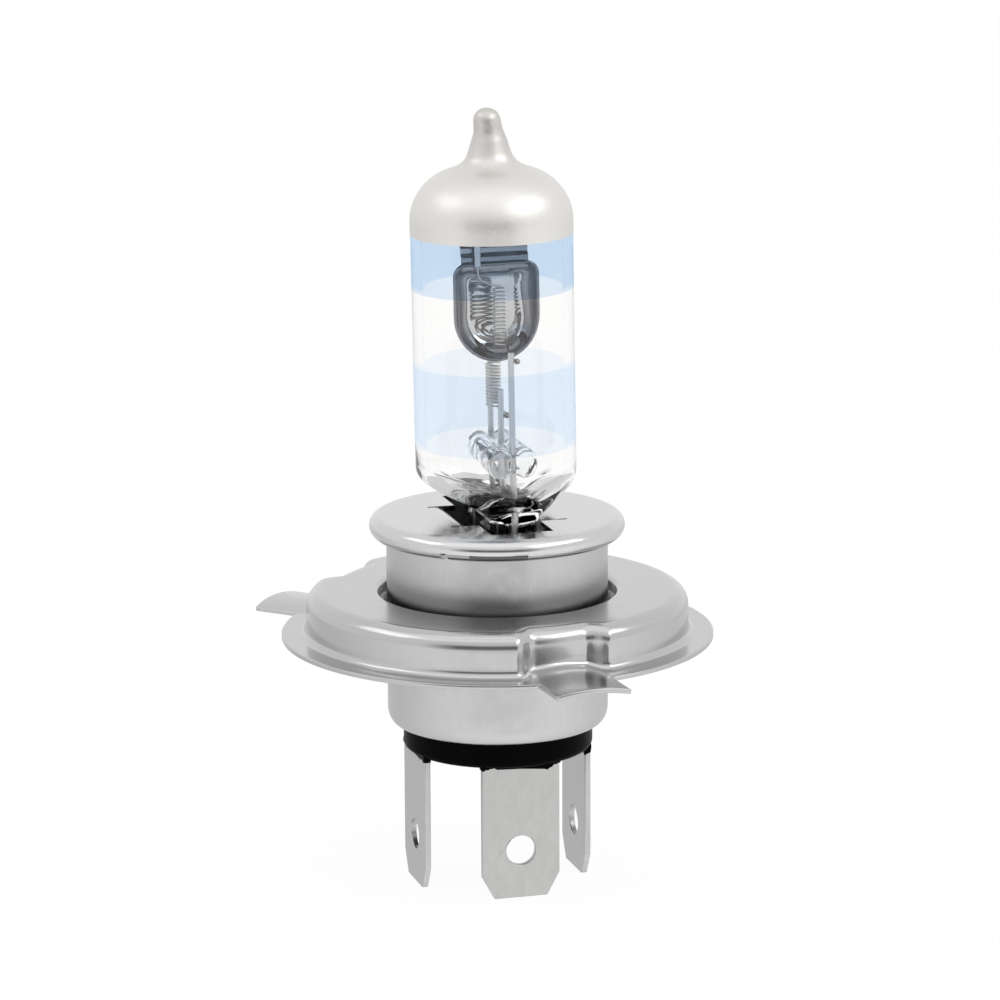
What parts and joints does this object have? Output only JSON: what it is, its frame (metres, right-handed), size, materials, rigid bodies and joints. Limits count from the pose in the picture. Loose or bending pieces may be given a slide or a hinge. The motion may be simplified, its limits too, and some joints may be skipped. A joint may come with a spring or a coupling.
{
  "type": "headlight bulb",
  "caption": "Two-filament halogen headlight bulb: silver-topped glass on a three-lug flanged metal base with contact blades.",
  "frame": {"origin": "on the bulb's axis, in the seat plane that the crowns of the three flange lugs lie in", "axes": "+Z along the bulb's axis towards the exhaust tip; the front contact blade faces -Y; +X completes the right-handed frame, with one side blade at -X and the other at +X"},
  "size_m": [0.043, 0.0499, 0.0779],
  "materials": {
    "clear_glass": "clear polished quartz",
    "quartz_bridge": "fire-polished quartz rod",
    "silver_coat": "satin warm silver paint",
    "blue_coat": "thin pale-blue interference coat",
    "tungsten": "drawn tungsten wire",
    "nickel_wire": "drawn molybdenum rod",
    "molybdenum_foil": "thin rolled foil",
    "shield_steel": "bright pressed molybdenum sheet",
    "stamped_steel": "bright stamped nickel-plated steel with draw marks",
    "ring_steel": "polished nickel-plated steel",
    "weld": "small welded or soldered spot",
    "black_insulator": "glossy black moulding and potting",
    "tinned_blade": "satin tinned steel",
    "lead_wire": "dull molybdenum rod"
  },
  "bodies": {
    "root": {"glass_envelope": "clear_glass", "silver_top_coat": "silver_coat", "blue_band_upper": "blue_coat", "blue_band_lower": "blue_coat", "bridge_rod_left": "quartz_bridge", "bridge_rod_right": "quartz_bridge", "common_post": "nickel_wire", "main_post": "nickel_wire", "dipped_post": "nickel_wire", "foil_common": "molybdenum_foil", "foil_main": "molybdenum_foil", "foil_dipped": "molybdenum_foil", "dipped_filament": "tungsten", "main_filament": "tungsten", "dipped_weld": "weld", "main_weld": "weld", "filament_crimp": "nickel_wire", "glare_shield": "shield_steel", "holder_cap": "stamped_steel", "base_sleeve": "stamped_steel", "focus_ring": "ring_steel", "ring_weld_1": "weld", "ring_weld_2": "weld", "ring_weld_3": "weld", "insulator": "black_insulator", "terminal_main": "tinned_blade", "terminal_common": "tinned_blade", "terminal_dipped": "tinned_blade", "lead_main": "lead_wire", "lead_common": "lead_wire", "lead_dipped": "lead_wire", "solder_main": "weld", "solder_common": "weld", "solder_dipped": "weld"}
  },
  "joints": []
}
